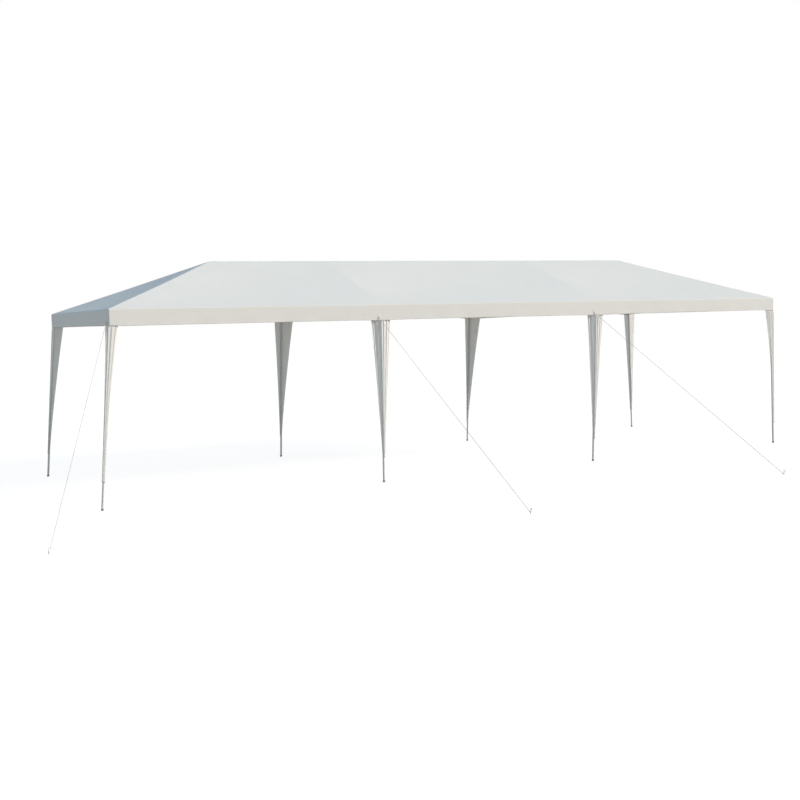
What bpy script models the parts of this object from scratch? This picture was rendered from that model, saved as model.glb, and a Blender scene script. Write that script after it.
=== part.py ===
"""A party marquee: a hipped cover on a plugged tube frame with eight legs, leg drapes and three guy ropes.

Lengths are in metres. The shapes are laid out about the middle of the tent's plan, with X along
its length, the front at -Y and Z up, and an empty then moves the whole so that the part's origin
is under the foot of the front left leg.
"""

import math

import bmesh
import bpy
from mathutils import Matrix, Vector

# Distances between the corner legs, at their tops
LEG_SPAN_LONG = 9.0
LEG_SPAN_DEEP = 3.0

# Cover, measured on its outer face: its ridge climbs a little from its left end to its right one
EAVE_HEIGHT = 2.0
RIDGE_ENDS = {-1: Vector((-2.98, 0, 2.564)), 1: Vector((3.08, 0, 2.6))}
VALANCE_DROP = 0.16
CLOTH = 0.004

# Frame tubes and the sleeves that they plug into
GAP = 0.0003
POLE_RADIUS = 0.0125
SLEEVE_RADIUS = 0.016
SLEEVE_LENGTH = 0.11
SLEEVE_START = -0.001
ARM_STAGGER = 0.0004
ARM_ROLL = math.radians(5)
SOCKET_RADIUS = POLE_RADIUS + 0.0007
SOCKET_DEPTH = 0.055
PLUG_DEPTH = 0.05
TUBE_SIDES = 12

# How far along the tent each foot stands from the top of its leg, from left to right
FRONT_LEANS = (-0.162, -0.015, -0.072, 0.045)
BACK_LEANS = (-0.162, -0.075, -0.09, 0.045)
LEAN_ROOM = 0.009
FOOT_RADIUS = 0.0145
FOOT_HEIGHT = 0.022
FOOT_BEVEL = 0.002

# Leg drapes, from the valance down to where they wrap the pole: each is as wide as its top
# times the spread of its height, added to its width at the bottom
DRAPE_BOTTOM = 0.28
DRAPE_SPREADS = ((0, 0), (0.5, 0.44), (1, 1))
CORNER_WINGS_LONG = {"front": (0.10, 0.085), "back": (0.138, 0.10)}
CORNER_WING_DEEP = 0.15
CORNER_WING_LOW = 0.032
CORNER_STANDOFF_LOW = 0.0172
MIDDLE_WINGS = {"front": 0.115, "back": 0.131}
MIDDLE_SWEEPS = {"front": 0.045, "back": 0.115}
MIDDLE_WING_LOW = 0.018
MIDDLE_SWEEP_LOW = 0.016
MIDDLE_STANDOFF_LOW = 0.0232

# Guy ropes and the part of their ground pegs that stands above the ground
ROPE_RADIUS = 0.002
KNOT_RADIUS = 0.0055
KNOT_RISES = {"left": 0.032, "middle": 0.009, "right": 0.009}
LEFT_TAB_Y = -1.475
TAB_SHIFTS = {"middle": -0.038, "right": -0.042}
TAB_WIDTH = 0.022
TAB_HEIGHT = 0.045
TAB_THICK = 0.003
ROPE_SIDES = 8
PEG_RADIUS = 0.004
PEG_HEIGHT = 0.045
PEG_HOOK_RADIUS = 0.009
PEG_HOOK_TAIL = 0.014
LOOP_HEIGHT = 0.018
LOOP_RADIUS = PEG_RADIUS + ROPE_RADIUS + 0.0006
PEG_PLACES = {
    "left": Vector((-5.51, -3.40, 0)),
    "middle": Vector((-1.3275, -4.1243, 0)),
    "right": Vector((2.324, -3.75, 0)),
}

# Worked out from the sizes above
LEG_X = LEG_SPAN_LONG / 2
LEG_Y = LEG_SPAN_DEEP / 2
MIDDLE_X = LEG_X / 3
AXIS_INSET = CLOTH + GAP + SLEEVE_RADIUS + LEAN_ROOM
HALF_LENGTH = LEG_X + AXIS_INSET
HALF_WIDTH = LEG_Y + AXIS_INSET
SLOPES = [
    (end.z - EAVE_HEIGHT) / run
    for end in RIDGE_ENDS.values()
    for run in (HALF_WIDTH, HALF_LENGTH - abs(end.x))
]
SLANT = math.sqrt(1 + max(SLOPES) ** 2)
CLOTH_DROP = CLOTH * SLANT
AXIS_DROP = CLOTH_DROP + (SLEEVE_RADIUS + GAP) * SLANT
EAVE_AXIS = EAVE_HEIGHT + min(SLOPES) * AXIS_INSET - AXIS_DROP
STATIONS = (-LEG_X, -MIDDLE_X, MIDDLE_X, LEG_X)
VALANCE_BOTTOM = EAVE_HEIGHT - VALANCE_DROP
DRAPE_TOP = VALANCE_BOTTOM - GAP

COLOURS = {
    "cover_cloth": ((0.80, 0.80, 0.78), 0.45, 0.0),
    "drape_cloth": ((0.82, 0.82, 0.80), 0.45, 0.0),
    "painted_steel": ((0.72, 0.73, 0.73), 0.35, 0.0),
    "guy_rope": ((0.85, 0.85, 0.83), 0.7, 0.0),
    "peg_steel": ((0.45, 0.45, 0.46), 0.4, 1.0),
}


def clear_scene():
    """Removes every object that the file opened with."""
    for found in list(bpy.data.objects):
        bpy.data.objects.remove(found, do_unlink=True)


def material(name):
    """The named material, made once from its colour, roughness and metallic value."""
    made = bpy.data.materials.get(name)
    if made is None:
        colour, roughness, metallic = COLOURS[name]
        made = bpy.data.materials.new(name)
        made.use_nodes = True
        shader = made.node_tree.nodes["Principled BSDF"]
        shader.inputs["Base Color"].default_value = (*colour, 1)
        shader.inputs["Roughness"].default_value = roughness
        shader.inputs["Metallic"].default_value = metallic
    return made


def new_object(name, shape, finish=None, parent=None):
    """An object that holds the bmesh `shape`, which is freed."""
    bmesh.ops.recalc_face_normals(shape, faces=shape.faces)
    mesh = bpy.data.meshes.new(name)
    shape.to_mesh(mesh)
    shape.free()
    made = bpy.data.objects.new(name, mesh)
    bpy.context.scene.collection.objects.link(made)
    made.parent = parent
    if finish:
        mesh.materials.append(material(finish))
    return made


def shade_round(made, angle=40):
    """Smooth shading on the round faces, with the sharp edges kept."""
    made.data.shade_smooth()
    made.data.set_sharp_from_angle(angle=math.radians(angle))


def rod(start, end, radius, sides=TUBE_SIDES, roll=0):
    """A bmesh cylinder from start to end, its facets rolled by an angle about its length."""
    start, end = Vector(start), Vector(end)
    along = end - start
    turn = along.to_track_quat("Z", "Y").to_matrix().to_4x4() @ Matrix.Rotation(roll, 4, "Z")
    place = Matrix.Translation((start + end) / 2) @ turn
    shape = bmesh.new()
    bmesh.ops.create_cone(
        shape, cap_ends=True, segments=sides, radius1=radius, radius2=radius,
        depth=along.length, matrix=place,
    )
    return shape


def ball(centre, radius):
    """A bmesh ball, for a knot."""
    shape = bmesh.new()
    bmesh.ops.create_icosphere(
        shape, subdivisions=2, radius=radius, matrix=Matrix.Translation(centre)
    )
    return shape


def box(low, high):
    """A bmesh box between two corners."""
    low, high = Vector(low), Vector(high)
    shape = bmesh.new()
    size = Matrix.Diagonal((*(high - low), 1))
    bmesh.ops.create_cube(shape, size=1, matrix=Matrix.Translation((low + high) / 2) @ size)
    return shape


def ring(centre, radius, thickness, around=12, across=ROPE_SIDES):
    """A bmesh ring that lies level, for the loop of a rope."""
    shape = bmesh.new()
    rows = []
    for i in range(around):
        turn = 2 * math.pi * i / around
        outward = Vector((math.cos(turn), math.sin(turn), 0))
        row = []
        for j in range(across):
            roll = 2 * math.pi * j / across
            reach = radius + thickness * math.cos(roll)
            lift = Vector((0, 0, thickness * math.sin(roll)))
            row.append(shape.verts.new(Vector(centre) + outward * reach + lift))
        rows.append(row)
    for i in range(around):
        here, there = rows[i], rows[(i + 1) % around]
        for j in range(across):
            k = (j + 1) % across
            shape.faces.new((here[j], there[j], there[k], here[k]))
    return shape


def loft(levels):
    """A bmesh solid through rings of points, level by level, closed at both ends."""
    shape = bmesh.new()
    rows = [[shape.verts.new(point) for point in level] for level in levels]
    for lower, upper in zip(rows, rows[1:]):
        for i in range(len(lower)):
            j = (i + 1) % len(lower)
            shape.faces.new((lower[i], lower[j], upper[j], upper[i]))
    shape.faces.new(rows[0])
    shape.faces.new(rows[-1])
    return shape


def carve(base, shapes, operation, tag):
    """Unites shapes with base, or takes them out of it, and keeps the result as base's mesh."""
    group = bpy.data.collections.new(tag)
    bpy.context.scene.collection.children.link(group)
    helpers = []
    for number, shape in enumerate(shapes):
        helper = new_object(f"{tag}_{number}", shape)
        bpy.context.scene.collection.objects.unlink(helper)
        group.objects.link(helper)
        helpers.append(helper)
    modifier = base.modifiers.new(tag, "BOOLEAN")
    modifier.operation = operation
    modifier.operand_type = "COLLECTION"
    modifier.collection = group
    bpy.context.view_layer.update()
    graph = bpy.context.evaluated_depsgraph_get()
    result = bpy.data.meshes.new_from_object(base.evaluated_get(graph))
    base.modifiers.clear()
    base.data = result
    for helper in helpers:
        bpy.data.objects.remove(helper, do_unlink=True)
    bpy.data.collections.remove(group)


def fused(name, solids, cutters, finish, parent):
    """One object made of several overlapping solids, less the cutters."""
    made = new_object(name, solids[0])
    carve(made, solids[1:], "UNION", "joined")
    if cutters:
        carve(made, cutters, "DIFFERENCE", "cut")
    made.parent = parent
    made.data.materials.clear()
    made.data.materials.append(material(finish))
    shade_round(made)
    return made


def sleeve(centre, towards, number=0):
    """A connector's arm that points from its centre towards a point, and the socket in it.

    Each arm of a connector has its own number, which rolls its facets off those of the others.
    """
    way = (Vector(towards) - Vector(centre)).normalized()
    mouth = centre + way * SLEEVE_LENGTH
    start = centre + way * (SLEEVE_START - number * ARM_STAGGER)
    roll = number * ARM_ROLL
    arm = rod(start, mouth, SLEEVE_RADIUS, roll=roll)
    socket = rod(mouth - way * SOCKET_DEPTH, mouth + way * SOCKET_DEPTH, SOCKET_RADIUS, roll=roll)
    return arm, socket


def connector(name, centre, targets, parent):
    """A welded steel connector with one socketed arm towards each of its targets."""
    arms = [sleeve(centre, target, number) for number, target in enumerate(targets)]
    return fused(name, [a for a, _ in arms], [s for _, s in arms], "painted_steel", parent)


def tube(name, start, end, parent):
    """A frame tube between two connector centres, plugged into their sockets."""
    start, end = Vector(start), Vector(end)
    way = (end - start).normalized()
    reach = SLEEVE_LENGTH - PLUG_DEPTH
    made = new_object(
        name, rod(start + way * reach, end - way * reach, POLE_RADIUS), "painted_steel", parent
    )
    shade_round(made)
    return made


def circle(centre, radius, sides=TUBE_SIDES):
    """Points of a level circle."""
    turns = [2 * math.pi * i / sides for i in range(sides)]
    return [
        Vector(centre) + Vector((math.cos(t), math.sin(t), 0)) * radius for t in turns
    ]


def leg(name, foot, head, parent):
    """A leg: its end cap on the ground and its pole up into the connector's socket."""
    foot, head = Vector(foot), Vector(head)
    climb = (head - foot) / (head.z - foot.z)
    pole_top = head.z - (SLEEVE_LENGTH - PLUG_DEPTH)
    profile = [
        (0, FOOT_RADIUS - FOOT_BEVEL),
        (FOOT_BEVEL, FOOT_RADIUS),
        (FOOT_HEIGHT - FOOT_BEVEL, FOOT_RADIUS),
        (FOOT_HEIGHT, POLE_RADIUS),
        (pole_top, POLE_RADIUS),
    ]
    levels = [circle(foot + climb * height, radius) for height, radius in profile]
    made = new_object(name, loft(levels), "painted_steel", parent)
    shade_round(made, 50)
    return made


def roof_panel(name, corners, parent):
    """A sloping panel of the cover: its outer corners, and the same ones a cloth lower.

    Its faces fan out from the first corner, which lets a panel of four corners be a little twisted.
    """
    drop = Vector((0, 0, CLOTH_DROP))
    shape = bmesh.new()
    upper = [shape.verts.new(corner) for corner in corners]
    lower = [shape.verts.new(corner - drop) for corner in corners]
    for near, far in zip(range(len(corners)), range(-1, len(corners) - 1)):
        shape.faces.new((upper[near], upper[far], lower[far], lower[near]))
    for far in range(2, len(corners)):
        shape.faces.new((upper[0], upper[far - 1], upper[far]))
        shape.faces.new((lower[0], lower[far - 1], lower[far]))
    return new_object(name, shape, "cover_cloth", parent)


def add_roof(parent):
    """Two long slopes, two end slopes and the four strips of the valance."""
    eave_x, eave_y = HALF_LENGTH - GAP, HALF_WIDTH - GAP
    for name, side in (("roof_front_panel", -1), ("roof_back_panel", 1)):
        off_ridge = Vector((0, side * GAP, 0))
        corners = [
            Vector((-eave_x, side * HALF_WIDTH, EAVE_HEIGHT)),
            Vector((eave_x, side * HALF_WIDTH, EAVE_HEIGHT)),
            RIDGE_ENDS[1] + off_ridge,
            RIDGE_ENDS[-1] + off_ridge,
        ]
        roof_panel(name, corners, parent)
    for name, side in (("roof_left_panel", -1), ("roof_right_panel", 1)):
        corners = [
            Vector((side * HALF_LENGTH, -eave_y, EAVE_HEIGHT)),
            Vector((side * HALF_LENGTH, eave_y, EAVE_HEIGHT)),
            RIDGE_ENDS[side] + Vector((side * GAP, 0, 0)),
        ]
        roof_panel(name, corners, parent)
    top = EAVE_HEIGHT - CLOTH_DROP - GAP
    for name, side in (("valance_front", -1), ("valance_back", 1)):
        near, far = sorted((side * HALF_WIDTH, side * (HALF_WIDTH - CLOTH)))
        strip = box((-HALF_LENGTH, near, VALANCE_BOTTOM), (HALF_LENGTH, far, top))
        new_object(name, strip, "cover_cloth", parent)
    end_y = HALF_WIDTH - CLOTH - GAP
    for name, side in (("valance_left", -1), ("valance_right", 1)):
        near, far = sorted((side * HALF_LENGTH, side * (HALF_LENGTH - CLOTH)))
        strip = box((near, -end_y, VALANCE_BOTTOM), (far, end_y, top))
        new_object(name, strip, "cover_cloth", parent)


def between(low, high, share):
    """The value a share of the way from low to high."""
    return low + (high - low) * share


def drape_levels(foot, head):
    """For each level of a leg's drape: its height, its share of the rise, its spread and the pole there."""
    levels = []
    for rise, spread in DRAPE_SPREADS:
        height = between(DRAPE_BOTTOM, DRAPE_TOP, rise)
        levels.append((height, rise, spread, foot.lerp(head, height / head.z)))
    return levels


def corner_drape(name, wing, foot, head, parent):
    """The L-shaped drape of a corner leg: two wings in the planes of the valance.

    The wing along the tent is as wide at its top as `wing`.
    """
    side_x, side_y = math.copysign(1, head.x), math.copysign(1, head.y)
    plan = drape_levels(foot, head)
    top_out_x = HALF_LENGTH - abs(plan[-1][3].x)
    levels = []
    for height, rise, spread, pole in plan:
        out_x = between(CORNER_STANDOFF_LOW, top_out_x, rise)
        out_y = between(CORNER_STANDOFF_LOW, AXIS_INSET, rise)
        long = out_x - between(CORNER_WING_LOW, wing, spread)
        deep = out_y - between(CORNER_WING_LOW, CORNER_WING_DEEP, spread)
        in_x, in_y = out_x - CLOTH, out_y - CLOTH
        outline = [
            (out_x, out_y), (long, out_y), (long, in_y), (in_x, in_y), (in_x, deep), (out_x, deep),
        ]
        levels.append([Vector((pole.x + side_x * x, pole.y + side_y * y, height)) for x, y in outline])
    return new_object(name, loft(levels), "drape_cloth", parent)


def middle_drape(name, row, foot, head, parent):
    """The drape of a middle leg: a V round the outside of the pole, its wings swept inwards."""
    side_y = math.copysign(1, head.y)
    levels = []
    for height, rise, spread, pole in drape_levels(foot, head):
        wing = between(MIDDLE_WING_LOW, MIDDLE_WINGS[row], spread)
        sweep = between(MIDDLE_SWEEP_LOW, MIDDLE_SWEEPS[row], spread)
        apex = between(MIDDLE_STANDOFF_LOW, AXIS_INSET, rise)
        run = math.hypot(wing, sweep)
        inner_apex = apex - CLOTH * run / wing
        slip_x, slip_y = CLOTH * sweep / run, CLOTH * wing / run
        outline = [
            (0, apex),
            (-wing, apex - sweep),
            (-wing + slip_x, apex - sweep - slip_y),
            (0, inner_apex),
            (wing - slip_x, apex - sweep - slip_y),
            (wing, apex - sweep),
        ]
        levels.append([Vector((pole.x + x, pole.y + side_y * y, height)) for x, y in outline])
    return new_object(name, loft(levels), "drape_cloth", parent)


def eave_point(x, y):
    """The centre of the eave connector over a leg."""
    return Vector((x, y, EAVE_AXIS))


def ridge_point(x):
    """The middle of the ridge pole at a place along the tent."""
    left, right = (RIDGE_ENDS[side] - Vector((0, 0, AXIS_DROP)) for side in (-1, 1))
    return left.lerp(right, (x - left.x) / (right.x - left.x))


def leg_places():
    """For each leg: its row, its number from the left, its foot and the eave connector over it."""
    places = []
    for row, y, leans in (("front", -LEG_Y, FRONT_LEANS), ("back", LEG_Y, BACK_LEANS)):
        for number, (x, lean) in enumerate(zip(STATIONS, leans), 1):
            places.append((row, number, Vector((x + lean, y, 0)), eave_point(x, y)))
    return places


def add_frame(parent):
    """Legs, eave rails, rafters, the ridge pole and the connectors that join them."""
    ridge_ends = {side: ridge_point(end.x) for side, end in RIDGE_ENDS.items()}
    for row, number, foot, head in leg_places():
        leg(f"{row}_leg_{number}", foot, head, parent)
        step = STATIONS[1] - STATIONS[0]
        beside = [s for s in STATIONS if abs(abs(s - head.x) - step) < GAP]
        targets = [foot, *(eave_point(s, head.y) for s in beside)]
        if number in (1, 4):
            side = math.copysign(1, head.x)
            top = ridge_ends[side]
            targets.append(eave_point(head.x, -head.y))
            tube(f"hip_rafter_{row}_{'left' if side < 0 else 'right'}", head, top, parent)
        else:
            top = ridge_point(head.x)
            tube(f"rafter_{row}_{number}", head, top, parent)
        connector(f"{row}_eave_connector_{number}", head, [*targets, top], parent)
    for row, y in (("front", -LEG_Y), ("back", LEG_Y)):
        for number, (start, end) in enumerate(zip(STATIONS, STATIONS[1:]), 1):
            tube(f"{row}_eave_rail_{number}", eave_point(start, y), eave_point(end, y), parent)
    for side, name in ((-1, "left"), (1, "right")):
        corners = [eave_point(side * LEG_X, y) for y in (-LEG_Y, LEG_Y)]
        tube(f"{name}_eave_rail", *corners, parent)
        targets = [ridge_point(0), *corners]
        connector(f"ridge_connector_{name}", ridge_ends[side], targets, parent)
    add_ridge_pole(ridge_ends, parent)


def add_ridge_pole(ridge_ends, parent):
    """The ridge: a run of tube with a four-way sleeve where each pair of rafters meets it."""
    way = (ridge_ends[1] - ridge_ends[-1]).normalized()
    reach = way * (SLEEVE_LENGTH - PLUG_DEPTH)
    half = way * SLEEVE_LENGTH
    solids = [rod(ridge_ends[-1] + reach, ridge_ends[1] - reach, POLE_RADIUS)]
    sockets = []
    for x in (-MIDDLE_X, MIDDLE_X):
        centre = ridge_point(x)
        solids.append(rod(centre - half, centre + half, SLEEVE_RADIUS))
        for number, side_y in enumerate((-1, 1), 1):
            arm, socket = sleeve(centre, eave_point(x, side_y * LEG_Y), number)
            solids.append(arm)
            sockets.append(socket)
    fused("ridge_pole", solids, sockets, "painted_steel", parent)


def add_drapes(parent):
    """One drape of cloth on each leg."""
    for row, number, foot, head in leg_places():
        name = f"{row}_drape_{number}"
        if number in (1, 4):
            corner_drape(name, CORNER_WINGS_LONG[row][number == 4], foot, head, parent)
        else:
            middle_drape(name, row, foot, head, parent)


def ground_peg(name, place, parent):
    """A hooked peg, from the ground up: the rod, and the hook that turns away from the tent."""
    line = bpy.data.curves.new(name, "CURVE")
    line.dimensions = "3D"
    line.bevel_depth = PEG_RADIUS
    line.bevel_resolution = 2
    line.use_fill_caps = True
    points = [Vector((0, 0, 0)), Vector((0, 0, PEG_HEIGHT / 2)), Vector((0, 0, PEG_HEIGHT))]
    bend = Vector((0, -PEG_HOOK_RADIUS, PEG_HEIGHT))
    steps = 6
    for i in range(1, steps + 1):
        turn = math.pi * i / steps
        points.append(bend + Vector((0, math.cos(turn), math.sin(turn))) * PEG_HOOK_RADIUS)
    points.append(points[-1] - Vector((0, 0, PEG_HOOK_TAIL)))
    spline = line.splines.new("POLY")
    spline.points.add(len(points) - 1)
    for point, at in zip(spline.points, points):
        point.co = (*at, 1)
    made = bpy.data.objects.new(name, line)
    bpy.context.scene.collection.objects.link(made)
    made.location = place
    made.parent = parent
    line.materials.append(material("peg_steel"))
    return made


def guy_rope(name, spot, rise, out, peg, parent):
    """A taut rope from a sewn tab at the valance's lower edge to a loop round its peg.

    The spot is where the tab's lower edge is on the valance, whose face looks the way of `out`, and
    the upper knot is tied at a rise above it.
    """
    half = Vector((-out.y, out.x, 0)) * (TAB_WIDTH / 2)
    sides = (
        spot + out * GAP - half,
        spot + out * (GAP + TAB_THICK) + half + Vector((0, 0, TAB_HEIGHT)),
    )
    tab = box([min(pair) for pair in zip(*sides)], [max(pair) for pair in zip(*sides)])
    top = spot + out * (GAP + KNOT_RADIUS) + Vector((0, 0, rise))
    loop = Vector((peg.x, peg.y, LOOP_HEIGHT))
    way = Vector((top.x - loop.x, top.y - loop.y, 0)).normalized()
    knot = loop + way * (LOOP_RADIUS + KNOT_RADIUS)
    solids = [
        tab,
        ball(top, KNOT_RADIUS),
        rod(knot, top, ROPE_RADIUS, ROPE_SIDES),
        ball(knot, KNOT_RADIUS * 0.9),
        ring(loop, LOOP_RADIUS, ROPE_RADIUS),
    ]
    return fused(name, solids, [], "guy_rope", parent)


def add_guys(parent):
    """The guy ropes and their ground pegs: one from the left end and two from the front."""
    spots = {"left": (Vector((-HALF_LENGTH, LEFT_TAB_Y, VALANCE_BOTTOM)), Vector((-1, 0, 0)))}
    for place, x in (("middle", -MIDDLE_X), ("right", MIDDLE_X)):
        x += TAB_SHIFTS[place]
        spots[place] = (Vector((x, -HALF_WIDTH, VALANCE_BOTTOM)), Vector((0, -1, 0)))
    for place, (spot, out) in spots.items():
        peg = PEG_PLACES[place]
        guy_rope(f"guy_rope_{place}", spot, KNOT_RISES[place], out, peg, parent)
        ground_peg(f"ground_peg_{place}", peg, parent)


def main():
    """Builds the tent about the middle of its plan and moves it to the part's origin."""
    clear_scene()
    middle = bpy.data.objects.new("tent_middle", None)
    bpy.context.scene.collection.objects.link(middle)
    middle.location = (LEG_X - FRONT_LEANS[0], LEG_Y, 0)
    add_frame(middle)
    add_roof(middle)
    add_drapes(middle)
    add_guys(middle)


main()
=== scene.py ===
"""Looks of the party marquee: its woven cover, pleated leg drapes, tube frame, guy ropes and pegs.

Every length is in metres. Shapes are laid out about the middle of the tent's plan, with the front
at -Y, and moved into the row frame as they are made.
"""

from __future__ import annotations

import logging
import math
import random
from dataclasses import dataclass, field, replace
from enum import Enum
from typing import Callable, Iterable, Sequence

import bmesh
import bpy
import numpy as np
from mathutils import Matrix, Vector

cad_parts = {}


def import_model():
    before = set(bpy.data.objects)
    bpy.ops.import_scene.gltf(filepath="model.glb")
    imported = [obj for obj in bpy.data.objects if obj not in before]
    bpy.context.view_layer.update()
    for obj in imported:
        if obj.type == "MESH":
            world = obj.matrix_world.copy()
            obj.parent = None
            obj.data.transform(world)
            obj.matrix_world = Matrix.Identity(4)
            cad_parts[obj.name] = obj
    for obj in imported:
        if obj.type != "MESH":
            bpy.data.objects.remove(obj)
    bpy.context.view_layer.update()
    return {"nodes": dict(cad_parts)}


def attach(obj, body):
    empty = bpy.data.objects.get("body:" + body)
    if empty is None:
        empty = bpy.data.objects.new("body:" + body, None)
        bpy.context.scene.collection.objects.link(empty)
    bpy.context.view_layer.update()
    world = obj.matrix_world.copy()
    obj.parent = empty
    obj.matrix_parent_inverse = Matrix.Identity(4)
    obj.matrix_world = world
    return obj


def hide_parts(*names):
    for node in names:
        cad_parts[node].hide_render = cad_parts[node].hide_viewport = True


LOG = logging.getLogger("marquee")
BODY = "root"
CUT_MAP = "cut"
EDGE_MAP = "edge"
TURN = 2 * math.pi


class Hold(Enum):
    """How a sheet of the tent is held up."""

    STRETCHED = "stretched"
    HUNG = "hung"


class Row(Enum):
    """The two long rows of legs, by the side of the plan on which they stand."""

    FRONT = -1
    BACK = 1

    @property
    def word(self) -> str:
        """The row's name as the frame's nodes have it."""
        return self.name.lower()


@dataclass(frozen=True)
class TentPlan:
    """The tent's main sizes, which the frame's solids have too."""

    middle: Vector = Vector((4.662, 1.5, 0))
    half_length: float = 4.5293
    half_width: float = 1.5293
    leg_x: float = 4.5
    leg_y: float = 1.5
    eave: float = 2.0
    ridge: float = 2.6
    ridge_left: tuple[float, float] = (-2.98, 2.564)
    ridge_right: tuple[float, float] = (3.08, 2.6)
    valance_bottom: float = 1.84
    front_hem_drop: float = 0.011
    connector_height: float = 1.9887
    front_leans: tuple[float, ...] = (-0.162, -0.015, -0.072, 0.045)
    back_leans: tuple[float, ...] = (-0.162, -0.075, -0.09, 0.045)

    @property
    def slope(self) -> float:
        """How much the roof climbs for each metre in from the eave."""
        return (self.ridge - self.eave) / self.half_width

    @property
    def stations(self) -> tuple[float, ...]:
        """Where the legs stand along the tent, at their tops."""
        third = self.leg_x / 3
        return (-self.leg_x, -third, third, self.leg_x)

    def ends_at(self, inset: float) -> tuple[float, float]:
        """Where the hips cross a level line of the roof, on the left and on the right.

        Args:
            inset: The line's inset from the eave of a long side.

        Returns:
            The two places along the tent.
        """
        share = inset / self.half_width
        left = (self.ridge_left[0] + self.half_length) * share - self.half_length
        right = (self.ridge_right[0] - self.half_length) * share + self.half_length
        return left, right

    def pole_at(self, row: Row, number: int, height: float) -> Vector:
        """The centre of a leg at a height.

        Args:
            row: The leg's row.
            number: The leg's number from the left, from 1.
            height: The height above the ground.

        Returns:
            The point, about the middle of the plan.
        """
        leans = self.front_leans if row is Row.FRONT else self.back_leans
        top = self.stations[number - 1]
        lean = leans[number - 1] * (1 - height / self.connector_height)
        return Vector((top + lean, row.value * self.leg_y, height))


PLAN = TentPlan()


class Wire:
    """A value in a material's node tree that can be used in a sum."""

    def __init__(self, tree: bpy.types.NodeTree, socket: bpy.types.NodeSocket) -> None:
        """Wraps an output socket of the tree."""
        self.tree = tree
        self.socket = socket

    def _worked(self, operation: str, *terms: "Wire | float") -> "Wire":
        """A Math node on these terms, in their order."""
        node = self.tree.nodes.new("ShaderNodeMath")
        node.operation = operation
        for place, term in enumerate(terms):
            if isinstance(term, Wire):
                self.tree.links.new(term.socket, node.inputs[place])
            else:
                node.inputs[place].default_value = float(term)
        return Wire(self.tree, node.outputs[0])

    def __add__(self, other: "Wire | float") -> "Wire":
        """self + other."""
        return self._worked("ADD", self, other)

    __radd__ = __add__

    def __sub__(self, other: "Wire | float") -> "Wire":
        """self - other."""
        return self._worked("SUBTRACT", self, other)

    def __rsub__(self, other: float) -> "Wire":
        """other - self."""
        return self._worked("SUBTRACT", other, self)

    def __mul__(self, other: "Wire | float") -> "Wire":
        """self * other."""
        return self._worked("MULTIPLY", self, other)

    __rmul__ = __mul__

    def __truediv__(self, other: "Wire | float") -> "Wire":
        """self / other."""
        return self._worked("DIVIDE", self, other)

    def __lt__(self, other: "Wire | float") -> "Wire":
        """1 where self is below other, else 0."""
        return self._worked("LESS_THAN", self, other)

    def __abs__(self) -> "Wire":
        """self without its sign."""
        return self._worked("ABSOLUTE", self)

    def wave(self) -> "Wire":
        """The sine of self."""
        return self._worked("SINE", self)

    def part(self) -> "Wire":
        """What self has beyond its whole number."""
        return self._worked("FRACT", self)


class MixingBench:
    """A new material's node tree, with one way to add a node to it."""

    def __init__(self, name: str) -> None:
        """Starts an empty material of that name."""
        self.material = bpy.data.materials.new(name)
        self.material.use_nodes = True
        self.tree = self.material.node_tree
        self.tree.nodes.clear()

    def add(
        self,
        kind: str,
        settings: dict[str, object] | None = None,
        sockets: dict[str | int, object] | None = None,
        stops: Sequence[tuple[float, tuple[float, float, float]]] = (),
        out: str | int = 0,
    ) -> Wire:
        """Adds a node.

        Args:
            kind: The node's type.
            settings: Its settings, which are made before its sockets are filled.
            sockets: What each input socket gets, by name or place: a value or a wire.
            stops: A ramp's stops, each a place and a colour.
            out: The output socket that is wanted, by name or place.

        Returns:
            The wire from that output.
        """
        node = self.tree.nodes.new(kind)
        for word, value in (settings or {}).items():
            setattr(node, word, value)
        if stops:
            ramp = node.color_ramp.elements
            while len(ramp) < len(stops):
                ramp.new(0.5)
            for stop, (place, colour) in zip(ramp, stops):
                stop.position = place
                stop.color = (*colour, 1)
        for word, value in (sockets or {}).items():
            socket = node.inputs[word]
            if isinstance(value, Wire):
                self.tree.links.new(value.socket, socket)
            elif isinstance(value, tuple) and len(value) == 3 and socket.type == "RGBA":
                socket.default_value = (*value, 1)
            else:
                socket.default_value = value
        return Wire(self.tree, node.outputs[out] if len(node.outputs) else None)

    def blend(self, share: Wire | float, low: object, high: object) -> Wire:
        """A colour between two colours.

        Args:
            share: How far to go from low to high.
            low: The colour at 0.
            high: The colour at 1.

        Returns:
            The blended colour.
        """
        return self.add(
            "ShaderNodeMix", {"data_type": "RGBA"}, {0: share, 6: low, 7: high}, out=2
        )

    def split(self, vector: Wire, axis: str) -> Wire:
        """One number of a vector, by the name of its axis."""
        return self.add("ShaderNodeSeparateXYZ", None, {0: vector}, out=axis)

    def flat_map(self, name: str) -> Wire:
        """The place of a point on one of the piece's flat maps, in metres."""
        return self.add("ShaderNodeUVMap", {"uv_map": name})

    def place(self) -> Wire:
        """The place of a point on the piece, in metres."""
        return self.add("ShaderNodeTexCoord", out="Object")

    def mottle(self, place: Wire, scale: float, detail: float = 2.0) -> Wire:
        """Soft noise from 0 to 1, with `scale` blotches to the metre."""
        return self.add(
            "ShaderNodeTexNoise", None, {"Vector": place, "Scale": scale, "Detail": detail}
        )

    def relief(self, height: Wire, depth: float, strength: float = 1.0) -> Wire:
        """A surface direction that shows a height map of that depth in metres."""
        return self.add(
            "ShaderNodeBump", None, {"Height": height, "Distance": depth, "Strength": strength}
        )

    def show(self, shader: Wire) -> bpy.types.Material:
        """Puts a shader on the surface and gives the finished material."""
        self.add("ShaderNodeOutputMaterial", None, {"Surface": shader})
        return self.material


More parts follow.
